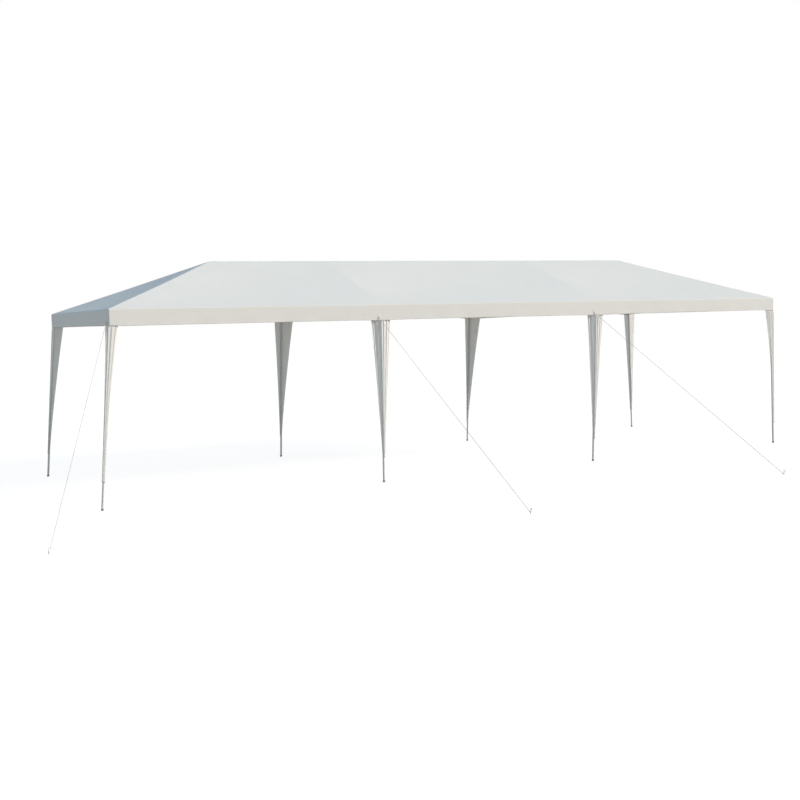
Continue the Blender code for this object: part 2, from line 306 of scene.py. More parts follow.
@dataclass(frozen=True)
class WovenCloth:
    """Woven, coated polyethylene sheet with stitched hems."""

    name: str
    colour: tuple[float, float, float] = (0.80, 0.80, 0.785)
    # The dark end of the cloth's random tone and grime, which also stands for painted shade in the gaps of the weave.
    tone_grime_and_weave_shade: tuple[float, float, float] = (0.70, 0.705, 0.69)
    tape: float = 0.0024
    stitch_rows: tuple[float, ...] = (0.014,)
    stitch: float = 0.006
    thread: float = 0.0009
    glow: float = 0.16

    def weave(self, bench: MixingBench) -> Wire:
        """The over and under of the tapes, from 0 to 1, which shapes their relief and paints shade into their gaps."""
        cut = bench.flat_map(CUT_MAP)
        warp = (bench.split(cut, "X") * (TURN / self.tape / 2)).wave()
        weft = (bench.split(cut, "Y") * (TURN / self.tape / 2)).wave()
        return warp * weft * 0.5 + 0.5

    def stitching(self, bench: MixingBench) -> Wire:
        """1 on the thread of the stitch rows that follow the sheet's free edges, else 0."""
        edge = bench.flat_map(EDGE_MAP)
        inset = bench.split(edge, "X")
        dashes = (bench.split(edge, "Y") / self.stitch).part() < 0.68
        rows: Wire | float = 0.0
        for at in self.stitch_rows:
            rows = (abs(inset - at) < self.thread) + rows
        return dashes * rows

    def seam_band(self, bench: MixingBench) -> Wire:
        """1 on the folded band outside the first stitch row, else 0."""
        inset = bench.split(bench.flat_map(EDGE_MAP), "X")
        return inset < self.stitch_rows[0] + 0.004

    def make(self) -> bpy.types.Material:
        """Mixes the material."""
        bench = MixingBench(self.name)
        place = bench.place()
        weave = self.weave(bench)
        thread = self.stitching(bench)
        band = self.seam_band(bench)
        clouds = bench.mottle(place, 1.7, 3)
        grime = bench.mottle(place, 14, 4)
        # Darker in soft clouds of tone and in grime, which the cloth has, and with painted shade in the weave's gaps
        # between the tapes.
        tone_dirt_and_painted_shade = clouds * 0.35 + grime * 0.2 + (1 - weave) * 0.16
        colour = bench.blend(tone_dirt_and_painted_shade, self.colour, self.tone_grime_and_weave_shade)
        colour = bench.blend(band * 0.35, colour, tuple(c * 1.06 for c in self.colour))
        colour = bench.blend(thread, colour, (0.74, 0.74, 0.72))
        creases = bench.mottle(place, 5.5, 2)
        height = weave * 0.3 + thread * 0.9 + band * 0.5 + creases * 1.6 + grime * 0.25
        roughness = grime * 0.14 + clouds * 0.08 + 0.54
        face = bench.add(
            "ShaderNodeBsdfPrincipled",
            None,
            {
                "Base Color": colour,
                "Roughness": roughness,
                "Specular IOR Level": 0.22,
                "Sheen Weight": 0.06,
                "Sheen Roughness": 0.5,
                "Normal": bench.relief(height, 0.0006),
            },
        )
        behind = bench.add("ShaderNodeBsdfTranslucent", None, {"Color": colour})
        return bench.show(bench.add("ShaderNodeMixShader", None, {0: self.glow, 1: face, 2: behind}))


@dataclass(frozen=True)
class DrapeCloth(WovenCloth):
    """The drapes' lighter cloth, which lets more light through."""

    colour: tuple[float, float, float] = (0.86, 0.86, 0.845)
    # The dark end of tone and grime, which also stands for painted shade in the weave's gaps.
    tone_grime_and_weave_shade: tuple[float, float, float] = (0.75, 0.755, 0.74)
    glow: float = 0.47


@dataclass(frozen=True)
class CoverCloth(WovenCloth):
    """The cover's cloth, which also has a flat-felled seam along each hip of the roof."""

    seam_half: float = 0.011
    roof_from: float = 2.004

    def hip_gap(self, bench: MixingBench) -> Wire:
        """How far a point of the roof is from the nearest hip, and a metre more off the roof."""
        place = bench.place()
        left = PLAN.half_width / (PLAN.half_length + PLAN.ridge_left[0])
        right = PLAN.half_width / (PLAN.half_length - PLAN.ridge_right[0])
        along = bench.split(place, "X") - PLAN.middle.x
        in_x = (PLAN.half_length - abs(along)) * (right - (along < 0) * (right - left))
        in_y = PLAN.half_width - abs(bench.split(place, "Y") - PLAN.middle.y)
        below = bench.split(place, "Z") < self.roof_from
        return abs(in_x - in_y) * math.sqrt(0.5) + below

    def stitching(self, bench: MixingBench) -> Wire:
        """The stitches of the hems, the eave and the hips."""
        gap = self.hip_gap(bench)
        dashes = (bench.split(bench.place(), "X") / self.stitch * math.sqrt(2)).part() < 0.68
        beside = abs(gap - self.seam_half * 0.72) < self.thread
        return super().stitching(bench) + dashes * beside

    def seam_band(self, bench: MixingBench) -> Wire:
        """The folded bands of the hem, the eave and the hips."""
        eave = abs(bench.split(bench.flat_map(EDGE_MAP), "X") - self.stitch_rows[1]) < 0.006
        hips = self.hip_gap(bench) < self.seam_half
        return super().seam_band(bench) + eave + hips


@dataclass(frozen=True)
class CoatedTube:
    """Powder-coated steel tube, scuffed by packing, with a dark plastic cap at the foot."""

    name: str = "coated_tube"
    colour: tuple[float, float, float] = (0.62, 0.625, 0.62)
    scuffed: tuple[float, float, float] = (0.47, 0.48, 0.48)
    bare: tuple[float, float, float] = (0.55, 0.55, 0.56)
    cap: tuple[float, float, float] = (0.24, 0.245, 0.25)
    cap_worn: tuple[float, float, float] = (0.36, 0.36, 0.36)
    cap_height: float = 0.0222
    sole: tuple[float, float, float] = (0.08, 0.08, 0.082)
    sole_height: float = 0.009

    def make(self) -> bpy.types.Material:
        """Mixes the material."""
        bench = MixingBench(self.name)
        place = bench.place()
        height = bench.split(place, "Z")
        is_cap = height < self.cap_height
        scuffs = bench.mottle(place, 26, 5)
        peel = bench.mottle(place, 900, 1)
        chips = bench.add(
            "ShaderNodeValToRGB",
            None,
            {0: bench.mottle(place, 70, 6)},
            [(0.70, (0, 0, 0)), (0.735, (1, 1, 1))],
        )
        paint = bench.blend(scuffs * 0.7, self.colour, self.scuffed)
        paint = bench.blend(chips, paint, self.bare)
        plastic = bench.blend(scuffs * 0.6, self.cap, self.cap_worn)
        plastic = bench.blend(height + scuffs * 0.01 < self.sole_height, plastic, self.sole)
        colour = bench.blend(is_cap, paint, plastic)
        roughness = scuffs * 0.22 + is_cap * 0.15 + 0.30
        relief = bench.relief(peel * 0.5 + chips * -0.6 + scuffs * 0.4, 0.0002)
        return bench.show(
            bench.add(
                "ShaderNodeBsdfPrincipled",
                None,
                {
                    "Base Color": colour,
                    "Roughness": roughness,
                    "Metallic": chips * (1 - is_cap),
                    "Normal": relief,
                },
            )
        )


@dataclass(frozen=True)
class TwistedCord:
    """Greyed white polypropylene rope, darkened by dirt and by painted shade in the hollows between its fibres."""

    name: str = "twisted_cord"
    colour: tuple[float, float, float] = (0.64, 0.64, 0.63)
    # The dark end of the dirt, which also stands for painted shade in the fibres' hollows.
    fibre_shade_and_dirt: tuple[float, float, float] = (0.38, 0.38, 0.37)

    def make(self) -> bpy.types.Material:
        """Mixes the material."""
        bench = MixingBench(self.name)
        place = bench.place()
        fibres = bench.mottle(place, 1400, 3)
        dirt = bench.mottle(place, 9, 3)
        # Painted shade in the fibres' hollows, and dirt.
        tone_dirt_and_painted_shade = fibres * 0.5 + dirt * 0.4
        return bench.show(
            bench.add(
                "ShaderNodeBsdfPrincipled",
                None,
                {
                    "Base Color": bench.blend(tone_dirt_and_painted_shade, self.colour, self.fibre_shade_and_dirt),
                    "Roughness": fibres * 0.2 + 0.55,
                    "Sheen Weight": 0.2,
                    "Normal": bench.relief(fibres, 0.0003),
                },
            )
        )


@dataclass(frozen=True)
class PlatedSteel:
    """Zinc-plated steel rod, dulled and stained towards the ground."""

    name: str = "plated_steel"
    colour: tuple[float, float, float] = (0.86, 0.87, 0.88)
    dull: tuple[float, float, float] = (0.62, 0.62, 0.62)
    soil: tuple[float, float, float] = (0.42, 0.38, 0.33)
    stain_height: float = 0.010

    def make(self) -> bpy.types.Material:
        """Mixes the material."""
        bench = MixingBench(self.name)
        place = bench.place()
        spangle = bench.mottle(place, 160, 4)
        height = bench.split(place, "Z") + spangle * 0.012
        low = height < self.stain_height
        colour = bench.blend(spangle, self.colour, self.dull)
        colour = bench.blend(low * 0.7, colour, self.soil)
        return bench.show(
            bench.add(
                "ShaderNodeBsdfPrincipled",
                None,
                {
                    "Base Color": colour,
                    "Metallic": 0.6 - low * 0.4,
                    "Roughness": spangle * 0.25 + low * 0.3 + 0.26,
                    "Normal": bench.relief(spangle, 0.0002),
                },
            )
        )


@dataclass(frozen=True)
class StudioFloor:
    """The studio's pale floor, which lights itself a little."""

    name: str = "studio_floor"
    colour: tuple[float, float, float] = (0.17, 0.17, 0.17)
    own_light: float = 0.89

    def make(self) -> bpy.types.Material:
        """Mixes the material."""
        bench = MixingBench(self.name)
        return bench.show(
            bench.add(
                "ShaderNodeBsdfPrincipled",
                None,
                {
                    "Base Color": self.colour,
                    "Roughness": 0.9,
                    "Specular IOR Level": 0.0,
                    "Emission Color": (1.0, 1.0, 1.0),
                    "Emission Strength": self.own_light,
                },
            )
        )


class PieceMaker:
    """Turns meshes into named pieces of the tent and tells the frame about them."""

    def __init__(self) -> None:
        """Starts with no pieces made."""
        self.made: list[str] = []

    def piece(self, name: str, mesh: bpy.types.Mesh, finish: bpy.types.Material) -> bpy.types.Object:
        """A piece in the row frame, which rides on the tent's body.

        Args:
            name: The piece's name.
            mesh: Its mesh, about the middle of the plan.
            finish: Its material.

        Returns:
            The piece.
        """
        mesh.transform(Matrix.Translation(PLAN.middle))
        mesh.materials.append(finish)
        made = bpy.data.objects.new(name, mesh)
        bpy.context.scene.collection.objects.link(made)
        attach(made, BODY)
        self.made.append(name)
        LOG.info("made %s with %d faces", name, len(mesh.polygons))
        return made


@dataclass(frozen=True)
class SheetPattern:
    """A sheet as rows of points, with its cut and its edge maps."""

    points: np.ndarray
    cut: np.ndarray
    edge: np.ndarray
    closed: bool = False

    def mesh(self, name: str) -> bpy.types.Mesh:
        """The sheet's single skin, smooth and with both flat maps."""
        rows, columns = self.points.shape[:2]
        spans = columns if self.closed else columns - 1
        shape = bmesh.new()
        cut = shape.loops.layers.uv.new(CUT_MAP)
        edge = shape.loops.layers.uv.new(EDGE_MAP)
        grid = [[shape.verts.new(self.points[r, c]) for c in range(columns)] for r in range(rows)]
        for r in range(rows - 1):
            for c in range(spans):
                d = (c + 1) % columns
                at = ((r, c), (r + 1, c), (r + 1, d), (r, d))
                face = shape.faces.new([grid[i][j] for i, j in at])
                face.smooth = True
                for loop, (i, j) in zip(face.loops, at):
                    loop[cut].uv = self.cut[i, c if j == c else c + 1]
                    loop[edge].uv = self.edge[i, c if j == c else c + 1]
        bmesh.ops.remove_doubles(shape, verts=shape.verts, dist=0.00002)
        made = bpy.data.meshes.new(name)
        shape.to_mesh(made)
        shape.free()
        return made


def thicken(piece: bpy.types.Object, thickness: float) -> None:
    """Gives a sheet its thickness on its inner side.

    Args:
        piece: The sheet's piece, whose faces look outwards.
        thickness: The cloth's thickness.
    """
    shell = piece.modifiers.new("thickness", "SOLIDIFY")
    shell.thickness = thickness
    shell.offset = -1
    shell.use_even_offset = True
    shell.use_quality_normals = True


def skin_area(mesh: bpy.types.Mesh) -> float:
    """The area of a single-skin mesh."""
    return sum(face.area for face in mesh.polygons)


def ripples(seed: int, lengths: Sequence[float]) -> Callable[[float, float], float]:
    """Seeded waves that run mostly along a sheet.

    Args:
        seed: The seed of their phases.
        lengths: Their wavelengths.

    Returns:
        A function of the places along and down the sheet, from about -1 to 1.
    """
    dice = random.Random(seed)
    waves = [(TURN / length, dice.uniform(0, TURN), dice.uniform(-0.6, 0.6)) for length in lengths]

    def height(along: float, down: float) -> float:
        """The waves' height at a point."""
        total = sum(math.sin(k * along + phase + k * slant * down) for k, phase, slant in waves)
        return total / len(waves)

    return height


@dataclass
class Cover:
    """The roof and its valance as one curved sheet, with its seams."""

    thickness: float = 0.0012
    long_steps: int = 180
    short_steps: int = 62
    arc_steps: int = 4
    corner_radius: float = 0.014
    fold_radius: float = 0.014
    sag: float = 0.021
    pole_dip: float = 0.0035
    valance_wave: float = 0.0035
    hem_pull: float = 0.005
    back_right_pull: float = 0.016
    slack_drop: float = 0.019
    slack_run: float = 1.4
    end_lift: float = 0.008
    calm_reach: float = 0.2

    def profile(self) -> list[tuple[float, float, float]]:
        """The cover's fall from the ridge to the hem.

        Returns:
            For each row its inset from the eave, its height and its distance down the cloth.
        """
        wide = PLAN.half_width
        near = [0, 0.008, 0.02, 0.045, 0.09]
        insets = [wide - n for n in near]
        insets += list(np.linspace(wide - 0.15, 0.15, 22))
        insets += [0.09, 0.05, 0.025]
        points = [(inset, PLAN.eave + PLAN.slope * inset) for inset in insets]
        angle = math.atan(PLAN.slope)
        tangent = self.fold_radius * math.tan((math.pi / 2 - angle) / 2)
        start = (tangent * math.cos(angle), PLAN.eave + tangent * math.sin(angle))
        end = (0.0, PLAN.eave - tangent)
        for step in range(6):
            t = step / 5
            inset = start[0] * (1 - t) ** 2 + end[0] * t**2
            height = start[1] * (1 - t) ** 2 + 2 * PLAN.eave * t * (1 - t) + end[1] * t**2
            points.append((inset, height))
        points += [(0.0, z) for z in np.linspace(PLAN.eave - 0.02, PLAN.valance_bottom + 0.02, 9)]
        points += [(0.0, PLAN.valance_bottom + z) for z in (0.0135, 0.006, 0.0)]
        rows, run = [], 0.0
        for number, (inset, height) in enumerate(points):
            if number:
                before = points[number - 1]
                run += math.hypot(inset - before[0], height - before[1])
            rows.append((inset, height, run))
        return rows

    def side_places(self, steps: int) -> list[float]:
        """Places along a side from -1 to 1, closer together towards both ends."""
        plain = np.linspace(-1, 1, steps - 3)
        return sorted({*plain.tolist(), -0.9985, 0.9985, -0.995, 0.995})

    def ring(self, inset: float) -> list[tuple[float, float, int]]:
        """The level outline of the cover at an inset from the eave.

        Args:
            inset: The inset of the outline's sides from those of the eave.

        Returns:
            For each column its x, its y and its side: 0 front, 1 right, 2 back, 3 left.
        """
        left, right = PLAN.ends_at(inset)
        a, b = (right - left) / 2, PLAN.half_width - inset
        middle = (right + left) / 2
        r = min(self.corner_radius, b)
        columns = []
        for side, (turn, half, out, steps) in enumerate(
            (
                (0, a, b, self.long_steps),
                (1, b, a, self.short_steps),
                (2, a, b, self.long_steps),
                (3, b, a, self.short_steps),
            )
        ):
            cos, sin = ((1, 0), (0, 1), (-1, 0), (0, -1))[turn]
            for t in self.side_places(steps):
                x, y = t * (half - r), -out
                columns.append((middle + x * cos - y * sin, x * sin + y * cos, side))
            for step in range(1, self.arc_steps):
                way = math.pi / 2 * step / self.arc_steps
                x = half - r + r * math.sin(way)
                y = -out + r - r * math.cos(way)
                columns.append((middle + x * cos - y * sin, x * sin + y * cos, side))
        return columns

    def ridge_shift(self, x: float, inset: float) -> float:
        """How far the roof lies below one whose ridge is level, at a place along the tent."""
        left, right = PLAN.ends_at(inset)
        share = min(max((x - left) / (right - left), 0), 1)
        top = PLAN.ridge_left[1] + (PLAN.ridge_right[1] - PLAN.ridge_left[1]) * share
        return (PLAN.ridge - top) * max(inset, 0) / PLAN.half_width

    def dip(self, x: float, y: float, side: int, inset: float) -> float:
        """How far the roof hangs below its flat slope.

        Args:
            x: The place along the tent.
            y: The place across it.
            side: The side of the roof.
            inset: The inset from the eave.

        Returns:
            The dip, which is nought over a rafter's sleeve.
        """
        wide = PLAN.half_width
        rise = min(max(inset / wide, 0), 1)
        if side in (0, 2):
            left, right = PLAN.ends_at(inset)
            supports = [left, PLAN.stations[1], PLAN.stations[2], right]
            at = x
        else:
            supports = [inset - wide, wide - inset]
            at = y
        at = min(max(at, supports[0]), supports[-1])
        low = max((s for s in supports if s <= at), default=supports[0])
        high = min((s for s in supports if s > at), default=supports[-1])
        bay = high - low
        if bay < 0.001:
            return 0.0
        t = (at - low) / bay
        belly = 4 * t * (1 - t) * self.sag * (bay / 3)
        resting = self.pole_dip * math.sin(math.pi * rise) ** 2
        return (belly + resting) * math.sin(math.pi * rise) ** 0.8 if 0 < rise < 1 else 0.0

    def valance_push(self, run: float, x: float, y: float, side: int, fall: float) -> float:
        """How far the valance waves outwards, which is nought at the legs.

        Args:
            run: The place round the eave.
            x: The place along the tent.
            y: The place across it.
            side: The side of the valance.
            fall: From 0 at the eave to 1 at the hem.

        Returns:
            The push.
        """
        return self.calm(x, y, side) * fall**1.5 * self.valance_wave * self.waves(run, fall)

    def calm(self, x: float, y: float, side: int) -> float:
        """0 at a leg and 1 well away from every leg."""
        if side in (0, 2):
            gap = min(abs(x - s) for s in PLAN.stations)
        else:
            gap = min(abs(abs(y) - PLAN.leg_y), 10)
        return 1 - math.exp(-((gap / self.calm_reach) ** 2))

    def hem_drop(self, x: float, y: float, side: int) -> float:
        """How far the hem hangs below its line: at the legs, along the front and where it is slack."""
        pull = self.back_right_pull if side == 2 and x > PLAN.leg_x / 2 else self.hem_pull
        drop = pull * (1 - self.calm(x, y, side))
        past = x - PLAN.stations[2]
        taut = min(max(past / self.slack_run, 0), 1)
        if side == 0:
            near = math.exp(-(((PLAN.leg_x - abs(x)) / 0.09) ** 2))
            drop += PLAN.front_hem_drop * (1 - near) * (1 - 0.8 * taut)
        if side == 2:
            share = math.exp(-((past / 0.1) ** 2)) if past < 0 else 1 - taut
            drop += self.slack_drop * share - self.end_lift * taut * self.calm(x, y, side)
        return drop

    def shape(self) -> SheetPattern:
        """The cover's rows of points with their maps."""
        self.waves = ripples(11, (0.31, 0.47, 0.83, 1.7))
        lay = ripples(23, (0.9, 1.45, 2.3))
        rows = self.profile()
        total = rows[-1][2]
        eave_run = next(run for inset, _, run in rows if inset == 0)
        points, cut, edge = [], [], []
        round_eave = self.ring(0.0)
        steps = [
            math.dist(round_eave[i][:2], round_eave[i - 1][:2]) for i in range(len(round_eave))
        ]
        rounds = np.cumsum(steps)
        for inset, height, run in rows:
            line, cuts, edges = [], [], []
            for column, (x, y, side) in enumerate(self.ring(inset)):
                at = Vector((x, y, height - self.ridge_shift(x, inset)))
                if run < eave_run:
                    flat = 0.0012 * lay(rounds[column], run) * math.sin(math.pi * inset / PLAN.half_width)
                    at.z -= self.dip(x, y, side, inset) + max(flat, -0.001)
                else:
                    fall = (run - eave_run) / (total - eave_run)
                    out = Vector(((0, -1, 0), (1, 0, 0), (0, 1, 0), (-1, 0, 0))[side])
                    at += out * self.valance_push(rounds[column], x, y, side, fall)
                    at.z -= self.hem_drop(x, y, side) * fall**3
                line.append(at)
                along = x if side in (0, 2) else y
                cuts.append((along + 20 * side, run))
                edges.append((total - run, rounds[column]))
            points.append(line)
            cut.append(cuts)
            edge.append(edges)
        cut, edge = np.array(cut), np.array(edge)
        return SheetPattern(
            np.array(points),
            self.wrapped(cut, 0.0),
            self.wrapped(edge, float(rounds[-1])),
            closed=True,
        )

    def wrapped(self, table: np.ndarray, turn: float) -> np.ndarray:
        """A map with one more column, which closes the round."""
        last = table[:, :1].copy()
        last[:, :, 1] += turn
        return np.concatenate([table, last], axis=1)

    def build(self, maker: PieceMaker, finish: bpy.types.Material) -> bpy.types.Object:
        """Makes the cover's piece and lets it stand for the frame's panels and strips."""
        mesh = self.shape().mesh("cover")
        area = skin_area(mesh)
        cover = maker.piece("cover", mesh, finish)
        thicken(cover, self.thickness)
        sides = ("front", "back", "left", "right")
        panels = [f"roof_{side}_panel" for side in sides] + [f"valance_{side}" for side in sides]
        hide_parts(*panels)
        LOG.info("cover area %.2f", area)
        return cover


@dataclass(frozen=True)
class DrapeCut:
    """How a drape lies at its top: the points of its outline, and how it narrows downwards."""

    outline: tuple[tuple[float, float], ...]
    top_long: float
    top_deep: float
    low_long: float
    low_deep: float
    standoff_low: float
    corner: bool
    power: float = 1.25
    crease: float = 0.0


def smooth_line(points: Sequence[tuple[float, float]], columns: int, rounds: int = 2) -> np.ndarray:
    """A line through points with its corners cut, at even steps.

    Args:
        points: The line's points.
        columns: How many points are wanted.
        rounds: How many times each corner is cut.

    Returns:
        The smoothed points.
    """
    line = np.array(points, dtype=float)
    for _ in range(rounds):
        first = line[:-1] * 0.78 + line[1:] * 0.22
        second = line[:-1] * 0.22 + line[1:] * 0.78
        middle = np.empty((2 * len(first), 2))
        middle[0::2], middle[1::2] = first, second
        line = np.concatenate([line[:1], middle, line[-1:]])
    run = np.concatenate([[0], np.cumsum(np.linalg.norm(np.diff(line, axis=0), axis=1))])
    wanted = np.linspace(0, run[-1], columns)
    return np.stack([np.interp(wanted, run, line[:, k]) for k in range(2)], axis=1)


@dataclass
class Drape:
    """The pleated drape of one leg."""

    row: Row
    number: int
    cut: DrapeCut
    seed: int
    bottom: float = 0.28
    tuck: float = 0.022
    tuck_inset: float = 0.0062
    hem_fall: float = 0.018
    tube_clearance: float = 0.0146
    thickness: float = 0.0012
    standoff: float = 0.0293
    columns: int = 120
    rows: int = 72
    crease_width: float = 0.007

    @property
    def name(self) -> str:
        """The piece's name."""
        return f"{self.row.word}_leg_drape_{self.number}"

    @property
    def node(self) -> str:
        """The frame's node that the drape stands for."""
        return f"{self.row.word}_drape_{self.number}"

    def section(self, line: np.ndarray, height: float, sway: Callable[[float, float], float]) -> np.ndarray:
        """The drape's outline at one height.

        Args:
            line: The outline at the top, about the pole.
            height: The height above the ground.
            sway: Waves that let the pleats wander.

        Returns:
            The outline's points, about the middle of the plan.
        """
        top = PLAN.valance_bottom
        rise = min(max((height - self.bottom) / (top - self.bottom), 0), 1)
        spread = rise**self.cut.power
        long = self.cut.low_long + (self.cut.top_long - self.cut.low_long) * spread
        deep = self.cut.low_deep + (self.cut.top_deep - self.cut.low_deep) * spread
        pole = PLAN.pole_at(self.row, self.number, height)
        top_out = PLAN.half_length - abs(PLAN.pole_at(self.row, self.number, top).x)
        out_x, out_y = (self.cut.standoff_low + (o - self.cut.standoff_low) * rise for o in (top_out, self.standoff))
        hem = top - self.hem_fall
        side_x = math.copysign(1, pole.x) if self.cut.corner else 1
        scale_x, scale_y = long / self.cut.top_long, deep / self.cut.top_deep
        points = []
        behind_x, behind_y = (max(o - self.tuck_inset, self.tube_clearance) for o in (top_out, self.standoff))
        for place, (x, y) in enumerate(line):
            share = place / (len(line) - 1)
            wander = 0.0022 * rise * sway(share * 0.4, height)
            y_here = out_y - (self.standoff - y) * scale_y
            if self.cut.corner:
                x_here = out_x - (self.standoff - x) * scale_x
            else:
                x_here = x * scale_x
            if not self.cut.corner:
                y_here += wander * min(1, abs(x_here) / 0.03) - self.fold(x, height)
            if height > hem - 0.006:
                blend = min((height - hem + 0.006) / 0.008, 1)
                y_here += (min(y_here, behind_y) - y_here) * blend
                if self.cut.corner:
                    x_here += (min(x_here, behind_x) - x_here) * blend
            points.append((pole.x + side_x * x_here, pole.y + self.row.value * y_here, height))
        return np.array(points)

    def fold(self, x: float, height: float) -> float:
        """The depth of the slanting fold at the top of a front drape's left wing.

        Args:
            x: The place along the wing at its top, from the pole.
            height: The height above the ground.

        Returns:
            How far the cloth goes in there.
        """
        line = PLAN.valance_bottom - 0.003 + x * 0.42
        reach = min(max(-x / 0.02, 0), 1)
        return self.cut.crease * reach * math.exp(-(((height - line) / self.crease_width) ** 2))

    def pattern(self) -> SheetPattern:
        """The drape's rows of points with their maps."""
        line = smooth_line(self.cut.outline, self.columns)
        sway = ripples(self.seed, (0.11, 0.19, 0.43))
        top = PLAN.valance_bottom
        heights = list(np.linspace(self.bottom, top - 0.022, self.rows))
        heights += [top - 0.018, top - 0.015, top - 0.012, top - 0.004, top + 0.002, top + self.tuck]
        levels = np.array([self.section(line, z, sway) for z in heights])
        steps = np.linalg.norm(np.diff(levels, axis=1), axis=2)
        runs = np.concatenate([np.zeros((len(heights), 1)), np.cumsum(steps, axis=1)], axis=1)
        widths = runs[:, -1:]
        down = np.repeat(np.array(heights)[:, None], self.columns, axis=1)
        cut = np.stack([runs - widths / 2, down], axis=2)
        edge = np.stack([np.minimum(runs, widths - runs), down], axis=2)
        mirrored = self.row is Row.BACK
        if self.cut.corner:
            mirrored = mirrored != (PLAN.stations[self.number - 1] > 0)
        if mirrored:
            levels, cut, edge = levels[:, ::-1], cut[:, ::-1], edge[:, ::-1]
        self.flat_size = (float(widths.max()), float(heights[-1] - heights[0]))
        return SheetPattern(levels, cut, edge)

    def build(self, maker: PieceMaker, finish: bpy.types.Material, cover: bpy.types.Object) -> None:
        mesh = self.pattern().mesh(self.name)
        area = skin_area(mesh)
        drape = maker.piece(self.name, mesh, finish)
        thicken(drape, self.thickness)
        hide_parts(self.node)
        width, length = self.flat_size
        width = max(width, area / length / 0.98)
        LOG.info("%s flat %.3f by %.3f, area %.3f", self.name, width, length, area)


def corner_cut(
    pleats: Sequence[tuple[float, float]],
    deep_pleats: Sequence[tuple[float, float]],
    wing: float = 0.10,
    power: float = 1.25,
) -> DrapeCut:
    """A corner drape's cut.

    Args:
        pleats: The points of the wing along the tent, from the corner to its free edge.
        deep_pleats: The points of the wing across the tent, from the corner to its free edge.
        wing: How wide the wing along the tent is, where its pleats are drawn 0.10 wide.
        power: How fast the drape narrows below its top.

    Returns:
        The cut.
    """
    edge = 0.0293
    along = [(edge - (edge - x) * wing / 0.10, y) for x, y in reversed(list(pleats))]
    return DrapeCut((*along, (edge, edge), *deep_pleats), wing, 0.15, 0.0288, 0.0288, 0.0152, True, power)


def middle_cut(row: Row) -> DrapeCut:
    """A middle drape's cut, for its row."""
    if row is Row.FRONT:
        outline = (
            (-0.123, -0.0040), (-0.107, -0.0120), (-0.100, -0.0020), (-0.082, -0.0100),
            (-0.075, 0.0005), (-0.050, 0.0108), (-0.045, 0.0110), (-0.024, 0.0205),
            (-0.004, 0.0292), (0.014, 0.0205), (0.026, 0.0298), (0.056, 0.0098),
            (0.068, 0.0195), (0.098, 0.0020), (0.105, 0.0060), (0.115, -0.0025),
        )
        return DrapeCut(outline, 0.115, 0.045, 0.0150, 0.012, 0.0188, False, 1.08, 0.005)
    outline = (
        (-0.131, -0.0857), (-0.118, -0.0700), (-0.113, -0.0705), (-0.100, -0.0560),
        (-0.094, -0.0555), (-0.086, -0.0430), (-0.080, -0.0420), (-0.062, -0.0225),
        (-0.056, -0.0225), (-0.036, 0.0010), (-0.030, 0.0010), (-0.008, 0.0258),
        (0.0, 0.0293), (0.008, 0.0258), (0.024, 0.0085), (0.030, 0.0080),
        (0.038, -0.0060), (0.054, -0.0170), (0.058, -0.0260), (0.075, -0.0360),
        (0.080, -0.0460), (0.099, -0.0560), (0.103, -0.0655), (0.131, -0.0857),
    )
    return DrapeCut(outline, 0.131, 0.115, 0.0150, 0.012, 0.0188, False, 1.25)


@dataclass
class Drapes:
    """The eight leg drapes, and the width and the narrowing of the corner ones that differ."""

    wings: dict[tuple[Row, int], tuple[float, float]] = field(
        default_factory=lambda: {
            (Row.FRONT, 1): (0.10, 2.1),
            (Row.FRONT, 4): (0.085, 1.9),
            (Row.BACK, 1): (0.138, 1.35),
        }
    )
    lit_through: tuple[Row, int] = (Row.BACK, 4)

    def cut_for(self, row: Row, number: int) -> DrapeCut:
        """The cut of one leg's drape."""
        if number in (2, 3):
            return middle_cut(row)
        if row is Row.FRONT and number == 1:
            pleats = (
                (0.0285, 0.0302), (0.003, 0.0222), (-0.010, 0.0300), (-0.040, 0.0185),
                (-0.048, 0.0228), (-0.0707, 0.0125),
            )
        else:
            pleats = (
                (0.020, 0.0290), (0.002, 0.0270), (-0.004, 0.0300), (-0.010, 0.0290),
                (-0.036, 0.0250), (-0.042, 0.0300), (-0.048, 0.0290), (-0.0707, 0.0270),
            )
        deep = (
            (0.0290, 0.020), (0.0275, 0.000), (0.0300, -0.008), (0.0285, -0.016),
            (0.0255, -0.052), (0.0298, -0.062), (0.0285, -0.070), (0.0270, -0.100),
            (0.0290, -0.108), (0.0275, -0.1207),
        )
        wing, power = self.wings.get((row, number), (0.10, 1.25))
        return corner_cut(pleats, deep, wing, power)

    def build(
        self,
        maker: PieceMaker,
        finish: bpy.types.Material,
        thin: bpy.types.Material,
        cover: bpy.types.Object,
    ) -> None:
        """Makes every drape.

        Args:
            maker: What puts the pieces into the scene.
            finish: The drapes' cloth.
            thin: The cloth of the drape that the key light shines through.
            cover: The cover that they hang from, which is not used.
        """
        seed = 40
        for row in Row:
            for number in (1, 2, 3, 4):
                seed += 1
                cloth = thin if (row, number) == self.lit_through else finish
                Drape(row, number, self.cut_for(row, number), seed).build(maker, cloth, cover)


